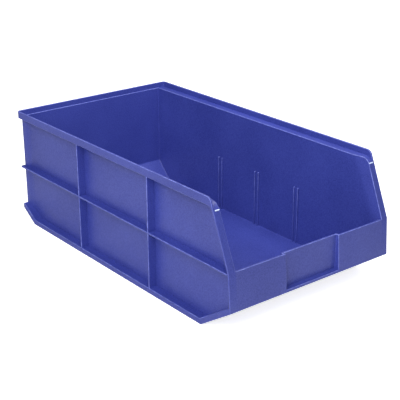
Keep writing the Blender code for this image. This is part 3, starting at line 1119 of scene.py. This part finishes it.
@dataclass(frozen=True)
class Recipe:
    """The nodes of one material, added one by one."""

    tree: bpy.types.NodeTree

    def noise(self, scale: float, detail: float) -> Socket:
        """A noise pattern fixed to the object.

        Args:
            scale: Features per metre.
            detail: Octaves.

        Returns:
            Its grey output.
        """
        place = self.tree.nodes.new("ShaderNodeTexCoord")
        node = self.tree.nodes.new("ShaderNodeTexNoise")
        node.inputs["Scale"].default_value = scale
        node.inputs["Detail"].default_value = detail
        self.tree.links.new(place.outputs["Object"], node.inputs["Vector"])
        return node.outputs["Fac"]

    def level(self, value: Socket, given: Span, wanted: Span) -> Socket:
        """Stretch a grey value from one range to another.

        Args:
            value: The grey value.
            given: The range that it has.
            wanted: The range that comes out, held at its ends.

        Returns:
            The stretched value.
        """
        node = self.tree.nodes.new("ShaderNodeMapRange")
        for name, number in zip(("From Min", "From Max", "To Min", "To Max"), (*given, *wanted)):
            node.inputs[name].default_value = number
        self.tree.links.new(value, node.inputs["Value"])
        return node.outputs["Result"]

    def merge(self, blend: Blend, first: Socket, second: Socket) -> Socket:
        """Add or multiply two grey values.

        Args:
            blend: Which of the two.
            first: One value.
            second: The other value.

        Returns:
            Their sum or product.
        """
        node = self.tree.nodes.new("ShaderNodeMath")
        node.operation = blend.value
        self.tree.links.new(first, node.inputs[0])
        self.tree.links.new(second, node.inputs[1])
        return node.outputs["Value"]

    def tint(self, share: Socket, first: Socket | Colour, second: Colour) -> Socket:
        """Mix towards a second colour.

        Args:
            share: How much of the second colour shows.
            first: The first colour, or the socket that gives it.
            second: The second colour.

        Returns:
            The mixed colour.
        """
        node = self.tree.nodes.new("ShaderNodeMix")
        node.data_type = "RGBA"
        if isinstance(first, tuple):
            node.inputs["A"].default_value = (*first, 1.0)
        else:
            self.tree.links.new(first, node.inputs["A"])
        node.inputs["B"].default_value = (*second, 1.0)
        self.tree.links.new(share, node.inputs["Factor"])
        return node.outputs["Result"]

    def bump(
        self, height: Socket, strength: float, distance: float, under: Socket | None = None
    ) -> Socket:
        """Raise the surface by a grey value.

        Args:
            height: The grey value.
            strength: Share of the effect.
            distance: Full height in metres.
            under: The normal that it lies on, if any.

        Returns:
            The new normal.
        """
        node = self.tree.nodes.new("ShaderNodeBump")
        node.inputs["Strength"].default_value = strength
        node.inputs["Distance"].default_value = distance
        self.tree.links.new(height, node.inputs["Height"])
        if under is not None:
            self.tree.links.new(under, node.inputs["Normal"])
        return node.outputs["Normal"]


@dataclass(frozen=True)
class Polypropylene:
    """Matt moulded plastic: fine grain, mottle and flow clouding, with edges painted pale for rub
    wear and painted highlight, and a painted glint on the beads.
    """

    colour: Colour = (0.0490, 0.0670, 0.345)
    deep: Colour = (0.0230, 0.0330, 0.224)
    # pale edge colour: partly rub wear, partly painted highlight
    rub_and_highlight: Colour = (0.200, 0.240, 0.660)
    # near-white painted glint on the beads
    painted_glint: Colour = (0.600, 0.690, 0.950)
    ior: float = 1.49
    roughness: Span = (0.52, 0.40)
    gloss_greys: Span = (0.3, 0.7)
    flow_scale: float = 14.0
    flow_detail: float = 4.0
    flow_greys: Span = (0.32, 0.68)
    flow_share: Span = (0.0, 0.35)
    mottle_scale: float = 620.0
    mottle_detail: float = 3.0
    mottle_greys: Span = (0.35, 0.65)
    mottle_share: Span = (0.0, 0.6)
    mottle_height: float = 0.06 * MM
    mottle_strength: float = 0.6
    grain_scale: float = 2600.0
    grain_detail: float = 2.0
    grain_height: float = 0.03 * MM
    grain_strength: float = 0.3
    # noise that breaks up the pale edges of rub wear and painted highlight
    rub_scale: float = 160.0
    rub_detail: float = 5.0
    rub_greys: Span = (0.38, 0.62)
    rub_share: Span = (0.35, 0.95)

    def build(self) -> bpy.types.Material:
        """Make the material.

        Returns:
            The material, on object coordinates and the attribute of edges painted pale for rub wear
            and highlight and of beads painted with a glint.
        """
        material = bpy.data.materials.new("blue_polypropylene")
        material.use_nodes = True
        recipe = Recipe(material.node_tree)
        mottle = recipe.noise(self.mottle_scale, self.mottle_detail)
        grain = recipe.noise(self.grain_scale, self.grain_detail)
        coarse = recipe.bump(mottle, self.mottle_strength, self.mottle_height)
        shader = recipe.tree.nodes["Principled BSDF"]
        shader.inputs["IOR"].default_value = self.ior
        for name, socket in (
            ("Base Color", self.paint(recipe, mottle)),
            ("Roughness", recipe.level(mottle, self.gloss_greys, self.roughness)),
            ("Normal", recipe.bump(grain, self.grain_strength, self.grain_height, coarse)),
        ):
            recipe.tree.links.new(socket, shader.inputs[name])
        return material

    def paint(self, recipe: Recipe, mottle: Socket) -> Socket:
        """Colour the plastic: clouded and specked all over, paler on edges for rub wear and painted
        highlight, near white on beads for a painted glint.

        Args:
            recipe: The material's nodes.
            mottle: The grey pattern of the specks.

        Returns:
            The colour.
        """
        flow = recipe.noise(self.flow_scale, self.flow_detail)
        rub_highlight = recipe.noise(self.rub_scale, self.rub_detail)
        cloud = recipe.level(flow, self.flow_greys, self.flow_share)
        speck = recipe.level(mottle, self.mottle_greys, self.mottle_share)
        body = recipe.tint(recipe.merge(Blend.SUM, cloud, speck), self.deep, self.colour)
        edge = recipe.tree.nodes.new("ShaderNodeAttribute")
        edge.attribute_name = WEAR_AND_HIGHLIGHT
        patch = recipe.level(rub_highlight, self.rub_greys, self.rub_share)
        # Pale edges: partly rub wear, partly painted highlight.
        worn_and_lit = recipe.merge(Blend.PRODUCT, edge.outputs["Fac"], patch)
        paint = recipe.tint(worn_and_lit, body, self.rub_and_highlight)
        # Painted glint on the beads.
        glint_share = recipe.level(edge.outputs["Fac"], (1.0, GLINT), (0.0, 1.0))
        return recipe.tint(glint_share, paint, self.painted_glint)


@dataclass
class Moulding:
    """The whole bin body: every region joined into one rounded shell."""

    plan: BinPlan
    finish: Polypropylene = field(default_factory=Polypropylene)
    edge_round: float = 0.75 * MM
    edge_steps: int = 3
    edge_angle: float = math.radians(14)
    smooth_angle: float = math.radians(40)
    shading_weight: int = 60
    shelter_depth: float = 3.0 * MM
    shelter_share: float = 0.3
    bead_start: float = 130.2 * MM

    def build(self) -> bpy.types.Object:
        """Join the regions, round the edges and dress the shell.

        Returns:
            The finished moulding.
        """
        tub = Tub(self.plan)
        wings = [FrontWing(self.plan, side) for side in Side]
        body = tub.blank()
        for wing in wings:
            wing.fit(body)
        tub.hollow(body)
        LabelRecess(self.plan).fit(body)
        Bench.tidy(body, 10 * HAIR)
        for side in Side:
            RearPost(self.plan, side).fit(body)
        StackingRim(self.plan).fit(body)
        for side in Side:
            SideRibs(self.plan, side).fit(body)
            BaseRail(self.plan, side).fit(body)
            DividerSlots(self.plan, side).fit(body)
        RearHanger(self.plan).fit(body)
        Bench.tidy(body)
        self.soften(body, [wing.bead(self.bead_start) for wing in wings])
        body.data.materials.clear()
        body.data.materials.append(self.finish.build())
        return body

    def shelter(self, body: bpy.types.Object) -> None:
        """Keep most of the pale rub wear and painted highlight off the low inner ribs and the outer
        edges of the front.

        Args:
            body: The moulding, with its worn edges marked.
        """
        plan, depth = self.plan, self.shelter_depth
        wear_and_highlight = body.data.attributes[WEAR_AND_HIGHLIGHT].data
        for vertex in body.data.vertices:
            x, y, z = vertex.co
            inside = plan.inner_x - depth < abs(x) < plan.inner_x + HAIR
            inside = inside and plan.floor_front < y < plan.floor_rear
            front = max(plan.lip_face.y_at(z), plan.mouth_face.y_at(z)) + 2 * self.edge_round
            corner = abs(x) > plan.high.x - 1.5 * self.edge_round and y < front
            low = z < plan.lip_top - depth / 2
            if inside and low or corner and plan.foot[1] < z < plan.ledge_top:
                wear_and_highlight[vertex.index].value *= self.shelter_share

    def soften(self, body: bpy.types.Object, beads: list[bpy.types.Object]) -> None:
        """Round every remaining outer edge a little, join the beads and even out the shading.

        Args:
            body: The joined moulding.
            beads: Small bars that are round already.
        """
        plan = self.plan
        y, z = plan.head
        edge_x = plan.splay_x(y, z) - 2 * self.edge_round
        # Below tail_z a ridge stands less than a rounding above the curve of the nose.
        rise = math.sqrt(2 * plan.ledge_nose * self.edge_round) - plan.setback(plan.ledge_nose)
        tail_z = plan.ledge_top + rise * plan.mouth_face.run.y

        def lip_front(a: Vector, b: Vector) -> bool:
            """Whether an edge is on the front of the lip's top."""
            return abs(a.y - y) + abs(b.y - y) + abs(a.z - z) + abs(b.z - z) < 10 * HAIR

        def ridge(a: Vector, b: Vector) -> bool:
            """Whether an edge is on the inner edge of a flange's ridge."""
            return near(abs(a.x), abs(b.x), plan.rim_lip_x) and all(
                near(end.y, plan.mouth_face.y_at(end.z)) for end in (a, b)
            )

        def fades(a: Vector, b: Vector) -> bool:
            """Whether an edge is on the lip's top under a flange, or on a ridge's thin tail."""
            under = lip_front(a, b) and abs(a.x + b.x) / 2 > edge_x
            return under or ridge(a, b) and (a.z + b.z) / 2 < tail_z

        for side in Side:
            x = side.value * edge_x
            Bench.score(body, Vector((x, 0.0, 0.0)), Vector((1.0, 0.0, 0.0)), lip_front)
        Bench.score(body, Vector((0.0, 0.0, tail_z)), Vector((0.0, 0.0, 1.0)), ridge)
        count = Bench.round_sharp(
            body, self.edge_angle, self.edge_round, self.edge_steps, fades
        )
        LOG.info("%s: %d edges rounded", body.name, count)
        self.shelter(body)
        for bead in beads:
            Bench.combine(body, bead, Mix.ADD)
        Bench.hold(body)
        bpy.ops.object.shade_smooth_by_angle(angle=self.smooth_angle)
        even = body.modifiers.new("shading", "WEIGHTED_NORMAL")
        even.keep_sharp = True
        even.weight = self.shading_weight
        bpy.ops.object.modifier_apply(modifier=even.name)


@dataclass(frozen=True)
class SoftBox:
    """One square lamp that faces the bin; azimuth 0 is in front and 90 is on the right."""

    name: str
    azimuth: float
    elevation: float
    power: float
    distance: float = 2.6
    size: float = 1.6

    def hang(self, target: Vector) -> None:
        """Add the lamp and turn it to the bin.

        Args:
            target: The point that it faces.
        """
        turn, rise = math.radians(self.azimuth), math.radians(self.elevation)
        flat = math.cos(rise)
        away = Vector((math.sin(turn) * flat, -math.cos(turn) * flat, math.sin(rise)))
        data = bpy.data.lights.new(self.name, "AREA")
        data.shape = "SQUARE"
        data.size = self.size
        data.energy = self.power
        lamp = bpy.data.objects.new(self.name, data)
        lamp.location = target + away * self.distance
        lamp.rotation_euler = away.to_track_quat("Z", "Y").to_euler()
        bpy.context.scene.collection.objects.link(lamp)


@dataclass
class Studio:
    """A white floor, soft lamps and the camera."""

    plan: BinPlan
    lamps: tuple[SoftBox, ...] = (
        SoftBox("key_softbox", -50.0, 45.0, 60.4),
        SoftBox("low_key_softbox", -50.0, 20.0, 11.4),
        SoftBox("left_softbox", -90.0, 30.0, 12.1),
        SoftBox("front_fill_softbox", 70.0, 30.0, 3.8, 1.6),
        SoftBox("right_fill_softbox", 90.0, 30.0, 4.0),
        SoftBox("back_softbox", 140.0, 30.0, 4.0),
        SoftBox("overhead_softbox", 90.0, 80.0, 2.95, 0.63, 0.3),
    )
    target: Place = (0.0, 0.0, 0.08)
    floor_size: float = 40.0
    floor_z: float = -0.0003
    floor_grey: float = 0.86
    floor_roughness: float = 0.9
    floor_glow: float = 0.8
    room_fill: float = 0.12
    place: Place = (-828.54 * MM, -813.74 * MM, 607.61 * MM)  # of the camera, y from the bin's front
    azimuth: float = 38.324
    elevation: float = 21.349
    roll: float = -0.294
    lens: float = 89.53  # millimetres, as is the sensor
    sensor: float = 36.0
    shift: float = -0.00825
    sight: float = 100.0

    def build(self) -> None:
        """Set the stage in order."""
        self.lay_floor()
        for lamp in self.lamps:
            lamp.hang(Vector(self.target))
        self.light_world()
        self.place_camera()

    def lay_floor(self) -> None:
        """Lay a wide white floor that the camera sees as almost plain white."""
        bpy.ops.object.select_all(action="DESELECT")
        bpy.ops.mesh.primitive_plane_add(size=self.floor_size, location=(0.0, 0.0, self.floor_z))
        floor = bpy.context.active_object
        floor.name = "studio_floor"
        bpy.ops.object.transform_apply(location=True, rotation=True, scale=True)
        material = bpy.data.materials.new("white_floor")
        material.use_nodes = True
        nodes, links = material.node_tree.nodes, material.node_tree.links
        shader = nodes["Principled BSDF"]
        grey = self.floor_grey
        shader.inputs["Base Color"].default_value = (grey, grey, grey, 1.0)
        shader.inputs["Roughness"].default_value = self.floor_roughness
        shader.inputs["Specular IOR Level"].default_value = 0.0
        shader.inputs["Emission Color"].default_value = WHITE
        path = nodes.new("ShaderNodeLightPath")
        share = nodes.new("ShaderNodeMath")
        share.operation = "MULTIPLY"
        share.inputs[1].default_value = self.floor_glow
        links.new(path.outputs["Is Camera Ray"], share.inputs[0])
        links.new(share.outputs["Value"], shader.inputs["Emission Strength"])
        floor.data.materials.append(material)
        floor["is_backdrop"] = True

    def light_world(self) -> None:
        """Fill the room with a soft even light that the camera sees as white."""
        world = bpy.data.worlds.new("studio")
        bpy.context.scene.world = world
        world.use_nodes = True
        nodes, links = world.node_tree.nodes, world.node_tree.links
        path = nodes.new("ShaderNodeLightPath")
        fill = nodes["Background"]
        fill.inputs["Color"].default_value = WHITE
        fill.inputs["Strength"].default_value = self.room_fill
        white = nodes.new("ShaderNodeBackground")
        white.inputs["Color"].default_value = WHITE
        white.inputs["Strength"].default_value = 1.0
        choose = nodes.new("ShaderNodeMixShader")
        links.new(path.outputs["Is Camera Ray"], choose.inputs["Fac"])
        links.new(fill.outputs["Background"], choose.inputs[1])
        links.new(white.outputs["Background"], choose.inputs[2])
        links.new(choose.outputs["Shader"], nodes["World Output"].inputs["Surface"])

    def place_camera(self) -> None:
        """Put the camera low and to the left of the front lip."""
        data = bpy.data.cameras.new("camera")
        data.lens = self.lens
        data.sensor_width = self.sensor
        data.shift_y = self.shift
        data.clip_end = self.sight
        camera = bpy.data.objects.new("camera", data)
        camera.location = Vector(self.place) + Vector((0.0, self.plan.low.y, 0.0))
        turn = Euler((math.radians(90 - self.elevation), 0.0, math.radians(-self.azimuth)), "XYZ")
        roll = Euler((0.0, 0.0, math.radians(self.roll)), "XYZ")
        camera.rotation_euler = (turn.to_matrix() @ roll.to_matrix()).to_euler("XYZ")
        bpy.context.scene.collection.objects.link(camera)
        bpy.context.scene.camera = camera


def main() -> None:
    """Build the bin on its frame, then the studio round it."""
    logging.basicConfig(level=logging.INFO, format="%(name)s: %(message)s")
    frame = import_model()
    plan = BinPlan.from_frame()
    body = Moulding(plan).build()
    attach(body, "root")
    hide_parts(*frame["nodes"])
    LOG.info("%s: %d faces", body.name, len(body.data.polygons))
    Studio(plan).build()
    bpy.context.scene.view_settings.view_transform = "Standard"


if __name__ == "__main__":
    main()
